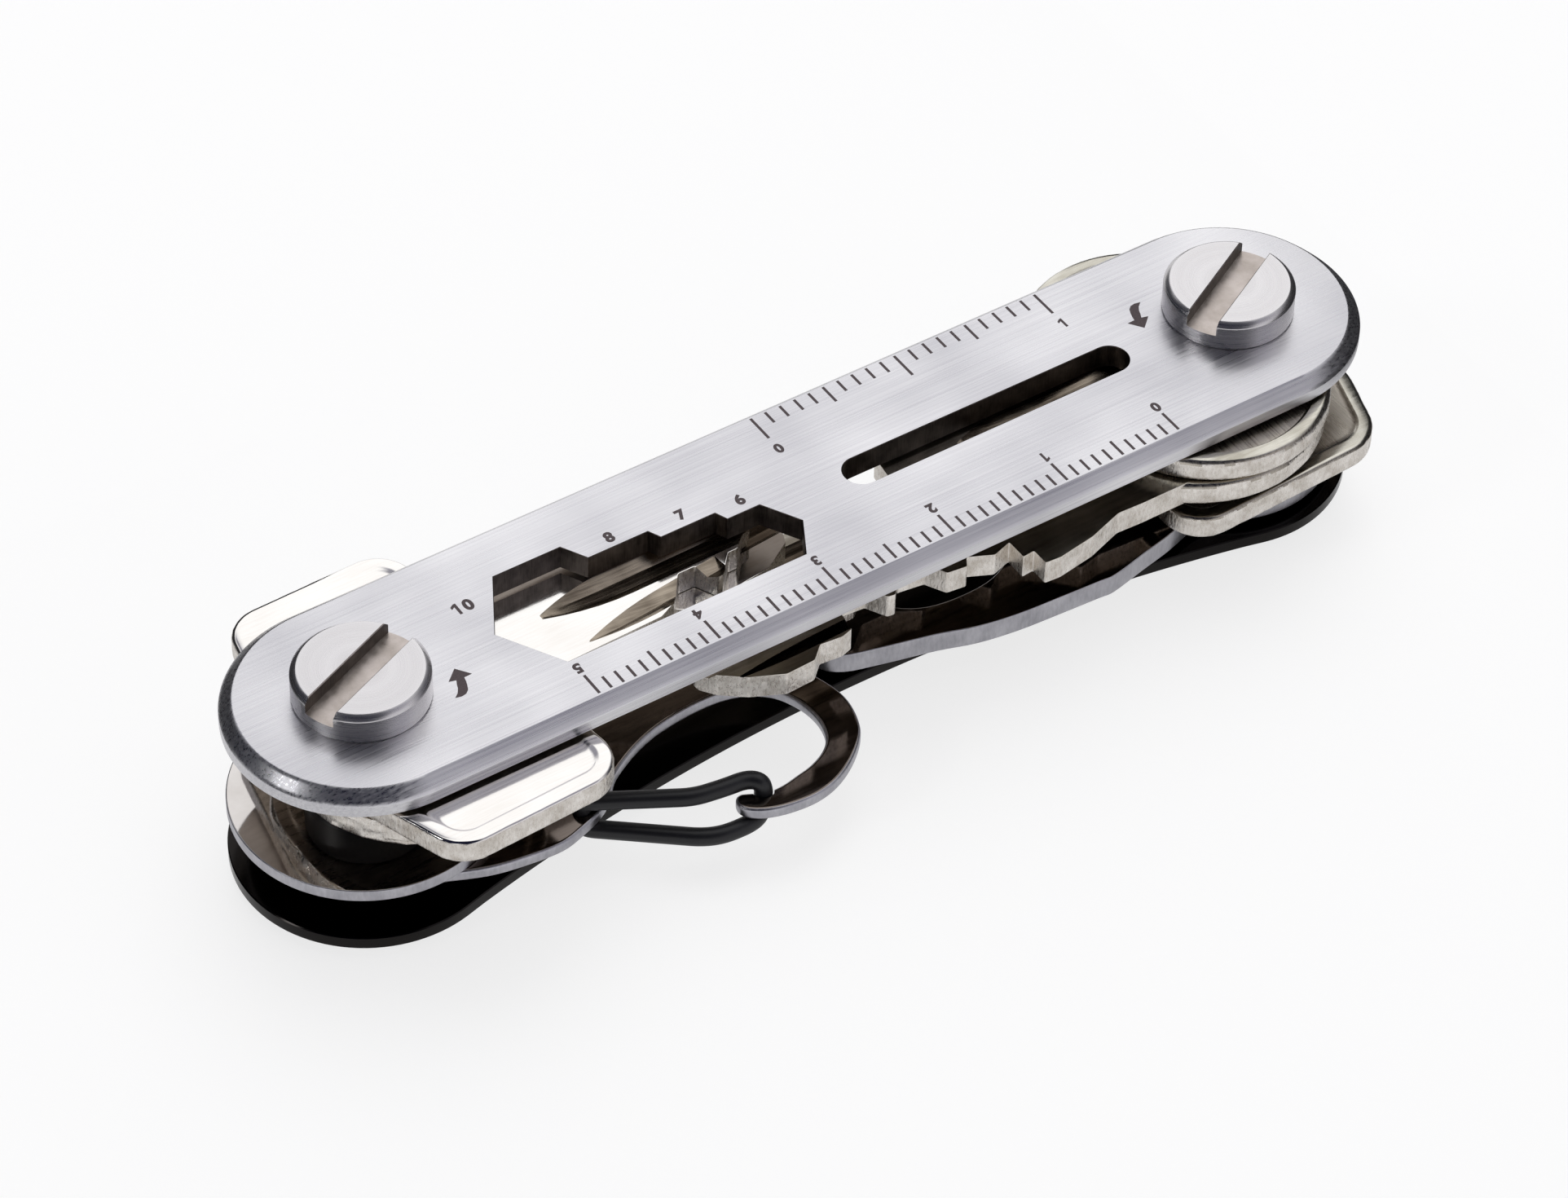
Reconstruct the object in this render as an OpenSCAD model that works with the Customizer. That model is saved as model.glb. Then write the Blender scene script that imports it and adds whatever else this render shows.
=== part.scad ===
// Key organiser: two long steel plates hold keys and small tools on two slotted screws.
// Millimetres. X runs along the plates, Z points up, and Z = 0 is the face it lies on.

/* [Plates] */
// Distance between the two screw axes
pivot_spacing = 75; // [60:0.5:90]
// Radius of the round ends of both plates
end_radius = 10; // [8:0.1:12]
// Thickness of each plate
plate_thickness = 2; // [1.5:0.1:3]
// Width of the 45 degree bevel round each plate's outer face
plate_bevel = 1; // [0.3:0.05:1.2]
// Distance from the outer face of one plate to the outer face of the other
overall_thickness = 16.3; // [14:0.1:20]
// Radius of the concave long sides of the bottom plate
waist_radius = 152; // [110:1:400]

/* [Top plate cut-outs] */
// Near end of the long slot, from the middle of the plate
slot_start = 3; // [1:0.1:6]
// Far end of the long slot, from the middle of the plate
slot_end = 28.1; // [24:0.1:30]
// Width of the long slot
slot_width = 2.9; // [2:0.1:4]
// Straight near edge of the spanner cut-out
spanner_near = -5.07; // [-6:0.01:-4]
// Left end of that near edge
spanner_left = -23.8; // [-26:0.1:-20]

/* [Screws and posts] */
// Radius of a screw head
head_radius = 4.95; // [4:0.05:6]
// Height of a screw head
head_height = 2.5; // [1.5:0.1:3.5]
// Chamfer round the top of a screw head
head_chamfer = 0.45; // [0.1:0.05:0.8]
// Width of the screwdriver slot
drive_width = 2.4; // [1:0.1:3]
// Depth of the screwdriver slot
drive_depth = 1.2; // [0.6:0.1:2]
// Turn of the left screw's slot from X
drive_turn_left = 22.7; // [0:0.1:180]
// Turn of the right screw's slot from X
drive_turn_right = 27.8; // [0:0.1:180]
// Outer radius of the post that everything turns on
post_radius = 2.5; // [2:0.05:3]
// Radius of the threaded hole in a post
thread_radius = 1.5; // [1:0.05:2]
// Radial clearance of a turning fit
running_clearance = 0.05; // [0.01:0.01:0.1]
// Clearance between pieces that lie on each other
stack_clearance = 0.05; // [0.02:0.01:0.1]

/* [Keys] */
// Thickness of a key
key_thickness = 2.05; // [1.6:0.05:2.4]
// Width of the raised rim round a key's bow
rim_width = 1.3; // [0.8:0.1:2]
// Depth of the panel inside that rim
panel_depth = 0.25; // [0.1:0.05:0.5]
// Depth of the milled grooves in a blade
groove_depth = 0.6; // [0.3:0.05:0.9]

/* [Tools] */
// Thickness of the carabiner
carabiner_thickness = 1.05; // [0.8:0.05:1.5]
// Height of the carabiner's underside
carabiner_height = 4.6; // [4:0.05:5]
// Thickness of the round disc on the left post
disc_thickness = 1.05; // [0.8:0.05:1.5]
// Radius of the round disc
disc_radius = 9.9; // [9:0.1:11]
// Thickness of the bottle opener
opener_thickness = 1.85; // [1.5:0.05:2.2]
// Height of the opener's underside
opener_height = 2.65; // [2.3:0.05:3]
// Radius of the gate's wire
wire_radius = 0.68; // [0.5:0.01:0.9]
// Height of each gate leg above or below the middle of the carabiner
leg_offset = 1.35; // [1.25:0.05:1.6]

/* [Washers] */
// Outer radius of the spacer washers
spacer_radius = 4.45; // [4:0.05:6]
// Thickness of the thin washers under the top plate
shim_thickness = 0.25; // [0.1:0.05:0.4]

/* [Hidden] */
// Facets of true round faces.
$fn = 96;
// Facets of a rounded corner.
corner_fn = 32;
// Small overlap that lets a cutter break through a face.
eps = 0.02;
half_spacing = pivot_spacing / 2;
top_under = overall_thickness - plate_thickness;
bore_radius = post_radius + running_clearance;
// Keys of the upper level and of the lower level, by their undersides.
upper_key_z = top_under - shim_thickness - stack_clearance - key_thickness;
lower_key_z = upper_key_z - stack_clearance - key_thickness;
third_key_z = 6.15;
// Radii of the round heads that the carabiner and the opener turn on.
carabiner_head = 8.8;
opener_head = 9;
// Facets of the long, shallow curve of the bottom plate's sides.
waist_fn = 720;
disc_z = carabiner_height + carabiner_thickness + stack_clearance;
carabiner_mid = carabiner_height + carabiner_thickness / 2;
opener_top = opener_height + opener_thickness;
// The concave sides run into the round ends, which they cut by this hair so that the edge is clean.
waist_bite = 0.03;
waist_reach = waist_radius + end_radius - waist_bite;
waist_centre = sqrt(pow(waist_reach, 2) - pow(half_spacing, 2));
tangent_x = half_spacing - end_radius * half_spacing / waist_reach;
// Spanner cut-out, clockwise from the left end of its near edge: steps of 10, 8, 7 and 6 mm.
spanner_outline = [
    [spanner_left, spanner_near], [spanner_left - 2.9, spanner_near + 5],
    [spanner_left, spanner_near + 10], [-18.2, spanner_near + 10],
    [-17.1, spanner_near + 8], [-12.06, spanner_near + 8],
    [-11.58, spanner_near + 7], [-6.98, spanner_near + 7],
    [-6.56, spanner_near + 6], [-3.8, spanner_near + 6],
    [-2.1, spanner_near + 3], [-3.8, spanner_near]];
// Corner circles of the bows: x, y, radius.
rect_bow_left = [[-36.3, -11.5, 3.1], [-27.4, -11.2, 3], [-30.1, 10.6, 3.1], [-38.6, 10.5, 3],
    [-37.5, 0, 6]];
oval_bow_left = [[-34.2, -1.4, 9.2], [-34.2, 1.4, 9.2]];
oval_bow_right = [[33.1, -3.3, 9.5], [32.2, 3.6, 8.9]];
round_bow_right = [[32.6, -2.2, 10.4], [33.2, 1.2, 10.2]];
rect_bow_right = [[29.5, -8.3, 3.2], [41.8, -7.2, 3.8], [43.4, -3.6, 3.4], [42.4, 7.2, 3.8],
    [29.6, 7.5, 3.6]];
// Blade outlines, from the bow along the cut edge to the tip and back along the straight edge.
upper_left_blade = [[-27, -3.4], [-14.6, -2.9], [-13.1, -2.2], [-11.3, 0.1], [-9.9, 0.1],
    [-9.0, -1.7], [-8.6, -1.7], [-7.1, 0], [-6.3, 0], [-4.9, 1.5], [-4.1, 1.7], [-3.5, 3.2],
    [-5, 6], [-27, 5]];
lower_left_blade = [[-27, -3.4], [-21, -2.9], [-19.4, -1.2], [-18, -1.2], [-16.2, -2.4],
    [-14.6, -2.3], [-12.8, -0.6], [-11.2, -1.9], [-9.6, -1.8], [-4.2, -1.1], [-1.8, 0.4],
    [-0.9, 2.6], [-1.6, 5.4], [-4.4, 7.3], [-27, 4.9]];
upper_right_blade = [[27, 4.4], [9.4, 4.2], [7.4, 2.6], [7, -0.6], [8.6, -1.2], [9.8, -3.2],
    [11.4, -3.2], [12.6, -1.8], [13.8, -3], [15, -4.4], [27, -4.4]];
lower_right_blade = [[27, -10.2], [22.5, -10.2], [20.4, -10.1], [17.4, -11.1], [14.2, -11.6],
    [12.9, -11.5], [12.9, -10], [11.9, -10.1], [11.9, -8.3], [10.3, -8.8], [8.4, -7.9],
    [7.9, -8.7], [6.3, -8.5], [5.4, -6.9], [3.2, -6.6], [1.9, -8.3], [1.3, -8.2], [0.4, -6.6],
    [-2.3, -6.4], [-2.7, -9.5], [-3.7, -9.8], [-5.5, -9.6], [-6.7, -10.7], [-9.1, -10.8],
    [-11.6, -9.6], [-13.4, -8.2], [-14.4, -6.8], [-14.4, -4.6], [-12.6, -2.9], [14, -0.8],
    [27, 4]];
third_key_blade = [[30, -6.2], [22.5, -5.6], [20.6, -6], [19, -4.3], [17.2, -3], [15.2, -3],
    [13.6, -4.2], [11.8, -1.8], [9.6, -1.8], [8, -3.4], [6, -2.2], [3.4, -2.2], [1.4, -4],
    [-1.2, -4], [-3.6, -2.2], [-4.4, 0.4], [-3, 3.4], [0, 4.4], [22.5, 5.4], [30, 6.2]];
// Carabiner outline from its round head along the near edge, the opening and the hook.
carabiner_outline = [[-37.5, -8.8], [-33.7, -10.3], [-30.7, -10.9], [-28, -11.1], [-26, -10.6],
    [-24.4, -10.0], [-23.0, -9.1], [-21.5, -7.5], [-19.9, -6.5], [-18.3, -5.75], [-16.6, -5.2],
    [-14.6, -4.85], [-12.4, -4.7], [-10.4, -4.85], [-8.7, -5.45], [-7.3, -6.6], [-6.5, -8.2],
    [-6.2, -9.8], [-6.3, -11.2], [-6.8, -12.5], [-7.8, -13.45], [-9.2, -14.1], [-10.6, -14.4],
    [-12, -14.65], [-13.3, -14.6], [-14.4, -14.05], [-15, -13.8], [-15.45, -13.95],
    [-15.7, -14.45], [-15.65, -15], [-15.2, -15.6], [-14.1, -16.25], [-12.5, -16.7],
    [-10.4, -16.85], [-8.4, -16.4], [-6.4, -15.3], [-4.7, -13.8], [-3.8, -12.3], [-3.3, -10.2],
    [-3.5, -8.2], [-4.4, -5.8], [-6, -3.9], [-8.4, -2.5], [-11.5, -1.7], [-15.5, -1.3],
    [-20, -0.6], [-24.5, 1.2], [-28.5, 4], [-32, 6.8]];
// Opener outline from its head along the bulging back, round the tip and through the mouth.
opener_outline = [[33, -7], [30, -7.2], [27.2, -8], [24.4, -8.6], [21.3, -9.3], [19.9, -9.25],
    [16.4, -9.05], [12.9, -8.8], [9.6, -8.25], [6.6, -7.3], [2.6, -6.3], [-0.4, -5.4],
    [-1.7, -4.2], [-1.9, -2.6], [-1.2, -1], [0.4, 0.3], [2.4, 0.9], [4, 0.8], [4.6, -0.1],
    [4.7, -1.6], [5.6, -3.3], [7.6, -4.5], [10.4, -4.9], [13.4, -4.6], [15.8, -3.2], [17, -1],
    [17.3, 1.4], [18.2, 3.6], [20, 5.2], [22.6, 5.8], [27, 5.8], [33, 7]];
gate_pivot = [-25.3, -9.1];
// Where the bend of the gate stands in the nose's notch, and the notch's radius round it.
gate_bend = [-13.45, -14.45];
notch_radius = 0.8;
leg_top = carabiner_mid + leg_offset;
leg_low = carabiner_mid - leg_offset;
// Half the gap between the wire's two ends, which meet in their hole.
wire_end_gap = 0.05;
// Corners of the gate's wire: up out of its hole, along the upper leg, round the nose and back.
gate_corners = [
    [gate_pivot[0], gate_pivot[1], carabiner_mid + wire_end_gap],
    [gate_pivot[0], gate_pivot[1], leg_top], [-18.4, -13, leg_top], [-16, -13.4, leg_top],
    [-14.2, -13.55, leg_top], [gate_bend[0], gate_bend[1], leg_top],
    [gate_bend[0], gate_bend[1], leg_low], [-14.7, -15.2, leg_low], [-17.1, -15.1, leg_low],
    [-18.6, -14.5, leg_low], [gate_pivot[0], gate_pivot[1], leg_low],
    [gate_pivot[0], gate_pivot[1], carabiner_mid - wire_end_gap]];

// A filled ring of height h from height z, on the axis at x.
module ring(x, z, h, outer, inner) {
    translate([x, 0, z])
        difference() {
            cylinder(r = outer, h = h);
            translate([0, 0, -eps]) cylinder(r = inner, h = h + 2 * eps);
        }
}

// Rounded flat outline round a list of corner circles, moved in by inset.
module bow_shape(corners, inset = 0) {
    hull()
        for (corner = corners)
            translate([corner[0], corner[1]])
                circle(r = corner[2] - inset, $fn = 2 * corner_fn);
}

// One key: a bow with raised rims, a flat blade and two milled grooves on each face.
module flat_key(pivot_x, z, bow, blade, grooves) {
    difference() {
        union() {
            translate([0, 0, z]) linear_extrude(key_thickness) bow_shape(bow);
            translate([0, 0, z]) linear_extrude(key_thickness) polygon(blade);
        }
        for (panel_z = [z - eps, z + key_thickness - panel_depth])
            translate([0, 0, panel_z]) linear_extrude(panel_depth + eps) bow_shape(bow, rim_width);
        for (groove = grooves) milled_groove(z, groove);
        translate([pivot_x, 0, z - eps])
            cylinder(r = bore_radius, h = key_thickness + 2 * eps);
    }
}

// A round-ended groove: start x and y, end x and y, width, and 1 for the top or -1 for the bottom.
module milled_groove(z, groove) {
    run = [groove[2] - groove[0], groove[3] - groove[1]];
    base = groove[5] > 0 ? z + key_thickness - groove_depth : z - eps;
    translate([groove[0], groove[1], base]) {
        cylinder(r = groove[4] / 2, h = groove_depth + eps, $fn = corner_fn);
        rotate([0, 0, atan2(run[1], run[0])])
            translate([0, -groove[4] / 2, 0])
                cube([norm(run), groove[4], groove_depth + eps]);
    }
}

// A slotted screw: head, thread core and the wide slot across the head.
module slotted_screw(x, turn) {
    shank_length = 9;
    color("silver")
        translate([x, 0, overall_thickness + stack_clearance])
            difference() {
                union() {
                    cylinder(r = head_radius, h = head_height - head_chamfer);
                    translate([0, 0, head_height - head_chamfer])
                        cylinder(r1 = head_radius, r2 = head_radius - head_chamfer,
                            h = head_chamfer);
                    translate([0, 0, -shank_length])
                        cylinder(r = thread_radius - running_clearance, h = shank_length + eps);
                }
                rotate([0, 0, turn])
                    translate([-end_radius, -drive_width / 2, head_height - drive_depth])
                        cube([2 * end_radius, drive_width, head_height]);
            }
}

// A threaded post riveted into the bottom plate.
module post(x) {
    recess = 0.3;
    color("gainsboro")
        difference() {
            translate([x, 0, 0])
                cylinder(r = post_radius, h = overall_thickness - recess);
            translate([x, 0, plate_thickness])
                cylinder(r = thread_radius, h = overall_thickness);
        }
}

// Points of a path whose corners are rounded with short parabolas that start reach before each.
function unit(v) = v / norm(v);
function corner_points(before, at, after, reach, steps) =
    let (start = at + unit(before - at) * min(reach, norm(before - at) / 2),
        end = at + unit(after - at) * min(reach, norm(after - at) / 2))
    [for (i = [0 : steps])
        let (t = i / steps)
        start * (1 - t) * (1 - t) + at * 2 * t * (1 - t) + end * t * t];
function rounded_path(corners, reach, steps) = concat(
    [corners[0]],
    [for (i = [1 : len(corners) - 2])
        each corner_points(corners[i - 1], corners[i], corners[i + 1], reach, steps)],
    [corners[len(corners) - 1]]);
// Direction of a path at each point, and a side vector carried along it without twist.
function path_direction(path, i) =
    unit(path[min(i + 1, len(path) - 1)] - path[max(i - 1, 0)]);
function carried_side(path, i) =
    i == 0 ? [1, 0, 0]
    : let (side = carried_side(path, i - 1), along = path_direction(path, i))
        unit(side - along * (side * along));
// Round wire swept along a path as one closed mesh.
module swept_wire(path, radius, sides) {
    last = len(path) - 1;
    rings = [for (i = [0 : last])
        let (side = carried_side(path, i), up = cross(path_direction(path, i), side))
        for (k = [0 : sides - 1])
            path[i] + radius * (side * cos(360 * k / sides) + up * sin(360 * k / sides))];
    walls = [for (i = [0 : last - 1]) for (k = [0 : sides - 1])
        let (next = (k + 1) % sides)
        each [[i * sides + k, (i + 1) * sides + k, (i + 1) * sides + next],
            [i * sides + k, (i + 1) * sides + next, i * sides + next]]];
    caps = [[for (k = [0 : sides - 1]) k], [for (k = [sides - 1 : -1 : 0]) last * sides + k]];
    polyhedron(points = rings, faces = concat(walls, caps), convexity = 6);
}

// Top plate: brushed steel with a bevelled upper edge, a long slot and a stepped spanner cut-out.
module top_plate() {
    side = plate_thickness - plate_bevel;
    color("silver")
        difference() {
            union() {
                for (x = [-half_spacing, half_spacing])
                    translate([x, 0, top_under]) {
                        cylinder(r = end_radius, h = side);
                        translate([0, 0, side])
                            cylinder(r1 = end_radius, r2 = end_radius - plate_bevel,
                                h = plate_bevel);
                    }
                translate([-half_spacing, 0, top_under])
                    rotate([90, 0, 90])
                        linear_extrude(pivot_spacing)
                            polygon([[-end_radius, 0], [end_radius, 0], [end_radius, side],
                                [end_radius - plate_bevel, plate_thickness],
                                [plate_bevel - end_radius, plate_thickness],
                                [-end_radius, side]]);
            }
            for (x = [-half_spacing, half_spacing])
                translate([x, 0, top_under - eps])
                    cylinder(r = bore_radius, h = plate_thickness + 2 * eps);
            translate([0, 0, top_under - eps]) {
                linear_extrude(plate_thickness + 2 * eps) polygon(spanner_outline);
                for (x = [slot_start + slot_width / 2, slot_end - slot_width / 2])
                    translate([x, 0, 0])
                        cylinder(r = slot_width / 2, h = plate_thickness + 2 * eps);
                translate([slot_start + slot_width / 2, -slot_width / 2, 0])
                    cube([slot_end - slot_start - slot_width, slot_width,
                        plate_thickness + 2 * eps]);
            }
        }
}

// Bottom plate: round ends joined by concave long sides, with a bevelled lower edge.
module bottom_plate() {
    color("dimgray")
        difference() {
            union() {
                for (x = [-half_spacing, half_spacing])
                    translate([x, 0, 0]) {
                        cylinder(r1 = end_radius - plate_bevel, r2 = end_radius, h = plate_bevel);
                        translate([0, 0, plate_bevel])
                            cylinder(r = end_radius, h = plate_thickness - plate_bevel);
                    }
                translate([-tangent_x, -end_radius, 0])
                    cube([2 * tangent_x, 2 * end_radius, plate_thickness]);
            }
            for (side = [-1, 1])
                translate([0, side * waist_centre, 0]) {
                    translate([0, 0, -eps])
                        cylinder(r1 = waist_radius + plate_bevel + eps, r2 = waist_radius,
                            h = plate_bevel + eps, $fn = waist_fn);
                    translate([0, 0, plate_bevel])
                        cylinder(r = waist_radius, h = plate_thickness, $fn = waist_fn);
                }
            for (x = [-half_spacing, half_spacing])
                translate([x, 0, -eps])
                    cylinder(r = post_radius, h = plate_thickness + 2 * eps);
        }
}

module screw_left() {
    slotted_screw(-half_spacing, drive_turn_left);
}

module screw_right() {
    slotted_screw(half_spacing, drive_turn_right);
}

module post_left() {
    post(-half_spacing);
}

module post_right() {
    post(half_spacing);
}

// Upper left key, with a wide rounded rectangular bow and a short blade.
module key_left_upper() {
    color("lightgray")
        flat_key(-half_spacing, upper_key_z, rect_bow_left, upper_left_blade,
            [[-20.4, 1.7, 0, 2.2, 2.6, 1], [-18.6, -1.6, -11, -1.1, 1.4, 1],
            [-19, 3.4, 0, 4.2, 1.6, -1]]);
}

// Lower left key, with an oval bow.
module key_left_lower() {
    color("silver")
        flat_key(-half_spacing, lower_key_z, oval_bow_left, lower_left_blade,
            [[-22, 0.6, 2, 2.8, 2, 1], [-22, 3.2, 2, 5.4, 1.4, 1], [-21, 1.4, 2, 3.6, 2, -1]]);
}

// Upper right key, with an oval bow and a short blade.
module key_right_upper() {
    color("lightgray")
        flat_key(half_spacing, upper_key_z, oval_bow_right, upper_right_blade,
            [[18, -1.8, 12, -1, 1.2, 1], [20, 2.6, 5, 2.4, 1.4, 1], [20, 0.4, 5, 0.4, 1.6, -1]]);
}

// Lower right key, with a round bow and a long cut blade that shows past the plate's near edge.
module key_right_lower() {
    color("silver")
        flat_key(half_spacing, lower_key_z, round_bow_right, lower_right_blade,
            [[9, -5.2, -16, -7.6, 1.5, 1], [10, -2.6, -16, -4.8, 1.5, 1],
            [9, -4, -16, -6.4, 2, -1]]);
}

// Third right key, with a rounded rectangular bow.
module key_right_third() {
    color("lightgray")
        flat_key(half_spacing, third_key_z, rect_bow_right, third_key_blade,
            [[20, 2.6, -6, 2.2, 1.8, 1], [20, 0.2, -6, -0.2, 1.4, 1], [20, 1.4, -6, 1, 2, -1]]);
}

// Polished round disc between the left keys and the carabiner.
module disc_left() {
    color("dimgray")
        ring(-half_spacing, disc_z, disc_thickness, disc_radius, bore_radius);
}

// Flat carabiner with an open near side; its nose has a notch for the gate.
module carabiner() {
    color("dimgray")
        difference() {
            union() {
                translate([-half_spacing, 0, carabiner_height])
                    cylinder(r = carabiner_head, h = carabiner_thickness);
                translate([0, 0, carabiner_height])
                    linear_extrude(carabiner_thickness) polygon(carabiner_outline);
            }
            translate([-half_spacing, 0, carabiner_height - eps])
                cylinder(r = bore_radius, h = carabiner_thickness + 2 * eps);
            translate([gate_pivot[0], gate_pivot[1], carabiner_height - eps])
                cylinder(r = wire_radius + running_clearance, h = carabiner_thickness + 2 * eps);
            translate([gate_bend[0], gate_bend[1], carabiner_height - eps])
                cylinder(r = notch_radius, h = carabiner_thickness + 2 * eps);
        }
}

// Wire gate: one bent wire, both ends hinged in the carabiner's hole, that closes on the nose.
module gate_wire() {
    color("black") swept_wire(rounded_path(gate_corners, 1, 5), wire_radius, 16);
}

// Bottle opener: round head, bulging back and a hooked mouth on the far side.
module bottle_opener() {
    color("dimgray")
        difference() {
            union() {
                translate([half_spacing, 0, opener_height])
                    cylinder(r = opener_head, h = opener_thickness);
                translate([0, 0, opener_height])
                    linear_extrude(opener_thickness) polygon(opener_outline);
            }
            translate([half_spacing, 0, opener_height - eps])
                cylinder(r = bore_radius, h = opener_thickness + 2 * eps);
        }
}

// Two thin washers that keep the top keys off the top plate.
module shim_washers() {
    color("black")
        for (x = [-half_spacing, half_spacing])
            ring(x, top_under - shim_thickness, shim_thickness, spacer_radius, bore_radius);
}

// Spacer between the left keys and the disc.
module spacer_left_upper() {
    base = disc_z + disc_thickness;
    color("black")
        ring(-half_spacing, base, lower_key_z - stack_clearance - base, spacer_radius,
            bore_radius);
}

// Spacer between the carabiner and the bottom plate.
module spacer_left_lower() {
    color("black")
        ring(-half_spacing, plate_thickness,
            carabiner_height - stack_clearance - plate_thickness, spacer_radius, bore_radius);
}

// Spacer between the lower and the third right key.
module spacer_right_upper() {
    base = third_key_z + key_thickness + stack_clearance;
    color("black")
        ring(half_spacing, base, lower_key_z - stack_clearance - base, spacer_radius,
            bore_radius);
}

// Spacer between the third right key and the opener.
module spacer_right_middle() {
    base = opener_top + stack_clearance;
    color("black")
        ring(half_spacing, base, third_key_z - stack_clearance - base, spacer_radius,
            bore_radius);
}

// Thin spacer between the opener and the bottom plate.
module spacer_right_lower() {
    color("black")
        ring(half_spacing, plate_thickness,
            opener_height - stack_clearance - plate_thickness, spacer_radius, bore_radius);
}

top_plate();
bottom_plate();
screw_left();
screw_right();
post_left();
post_right();
key_left_upper();
key_left_lower();
key_right_upper();
key_right_lower();
key_right_third();
disc_left();
carabiner();
gate_wire();
bottle_opener();
shim_washers();
spacer_left_upper();
spacer_left_lower();
spacer_right_upper();
spacer_right_middle();
spacer_right_lower();
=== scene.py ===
import math

import bmesh
import bpy
from mathutils import Matrix, Vector, noise


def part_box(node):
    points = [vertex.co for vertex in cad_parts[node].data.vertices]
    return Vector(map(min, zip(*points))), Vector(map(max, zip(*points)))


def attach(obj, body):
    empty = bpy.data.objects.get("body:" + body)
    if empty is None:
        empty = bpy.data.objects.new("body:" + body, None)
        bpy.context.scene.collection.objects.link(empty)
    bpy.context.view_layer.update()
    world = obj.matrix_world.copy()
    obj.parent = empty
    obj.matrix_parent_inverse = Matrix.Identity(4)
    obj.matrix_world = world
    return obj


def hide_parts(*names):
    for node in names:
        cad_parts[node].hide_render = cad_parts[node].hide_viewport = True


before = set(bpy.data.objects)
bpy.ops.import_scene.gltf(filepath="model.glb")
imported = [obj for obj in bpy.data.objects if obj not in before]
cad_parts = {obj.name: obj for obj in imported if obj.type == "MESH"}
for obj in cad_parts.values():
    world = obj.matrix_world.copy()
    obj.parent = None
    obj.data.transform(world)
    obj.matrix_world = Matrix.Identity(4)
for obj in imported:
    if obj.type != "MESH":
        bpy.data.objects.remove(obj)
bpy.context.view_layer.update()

# Every size below is in millimetres and becomes metres where a mesh is made.
MM = 0.001


# --- Studio -----------------------------------------------------------------------------------
# A pale paper sheet under soft, white light from above and behind, with dark screens on the
# camera's side and to the right, which polished and bevelled steel turns towards the viewer.

def linear(hex_colour):
    """An sRGB hex colour as the linear RGBA that a shader takes."""
    parts = [int(hex_colour[i:i + 2], 16) / 255 for i in (1, 3, 5)]
    return [p / 12.92 if p <= 0.04045 else ((p + 0.055) / 1.055) ** 2.4 for p in parts] + [1.0]


def add_node(tree, kind, inputs=(), **settings):
    """Adds a shader node with its settings, and with values or links for its inputs."""
    made = tree.nodes.new(kind)
    for name, value in settings.items():
        setattr(made, name, value)
    for name, value in dict(inputs).items():
        if isinstance(value, bpy.types.NodeSocket):
            tree.links.new(value, made.inputs[name])
        else:
            made.inputs[name].default_value = value
    return made


camera_place = Vector((-169.76, -241.99, 296.87)) * MM
camera_aim = Vector((-7.67, -8.04, 16.3)) * MM
camera_roll = math.radians(1.5)
camera = bpy.data.objects.new("camera", bpy.data.cameras.new("camera"))
camera.data.lens = 129.9
camera.data.sensor_width = 36
camera.data.clip_start = 0.01
camera.location = camera_place
looking = (camera_aim - camera_place).to_track_quat("-Z", "Y").to_matrix()
camera.rotation_euler = (looking @ Matrix.Rotation(camera_roll, 3, "Z")).to_euler()
bpy.context.scene.collection.objects.link(camera)
bpy.context.scene.camera = camera
bpy.context.scene.view_settings.view_transform = "Standard"

world = bpy.data.worlds.new("soft_studio")
world.use_nodes = True
bpy.context.scene.world = world
sky = world.node_tree
sky.nodes.clear()
sky_direction = add_node(sky, "ShaderNodeTexCoord").outputs["Generated"]
sky_colour = add_node(sky, "ShaderNodeRGB").outputs["Color"]
sky_colour.default_value = linear("#fbfbfc")
# Each patch: its direction, the angles where it is whole and where it has faded, its colour and
# its brightness.
for direction, inner, outer, colour, gain in [
        ((0.90, -0.30, 0.00), 22, 58, "#4a4a52", 1),
        ((0.30, -0.90, 0.45), 12, 50, "#d2d1d5", 1),
        ((0.40, -0.58, 0.71), 5, 20, "#8c8b96", 1),
        ((-0.05, 0.60, 0.80), 10, 20, "#8a8a94", 1),
        ((-0.35, 0.93, 0.05), 24, 36, "#1e2028", 1),
        ((-0.80, 0.15, 0.50), 34, 48, "#181a26", 1),
        ((-0.35, -0.56, 0.72), 28, 39, "#141628", 1),
        ((-0.83, 0.045, 0.56), 2, 7, "#ffffff", 7)]:
    along = add_node(sky, "ShaderNodeVectorMath",
                     {0: sky_direction, 1: Vector(direction).normalized()},
                     operation="DOT_PRODUCT")
    patch = add_node(sky, "ShaderNodeMapRange",
                     {"Value": along.outputs["Value"],
                      "From Min": math.cos(math.radians(outer)),
                      "From Max": math.cos(math.radians(inner))},
                     interpolation_type="SMOOTHSTEP")
    sky_colour = add_node(sky, "ShaderNodeMixRGB",
                          {"Fac": patch.outputs["Result"], "Color1": sky_colour,
                           "Color2": [gain * c for c in linear(colour)]}).outputs["Color"]
seen_by_camera = add_node(sky, "ShaderNodeLightPath").outputs["Is Camera Ray"]
sky_colour = add_node(sky, "ShaderNodeMixRGB",
                      {"Fac": seen_by_camera, "Color1": sky_colour,
                       "Color2": linear("#fafafa")}).outputs["Color"]
sky_light = add_node(sky, "ShaderNodeBackground", {"Color": sky_colour, "Strength": 1.1})
add_node(sky, "ShaderNodeOutputWorld", {"Surface": sky_light.outputs["Background"]})

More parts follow.
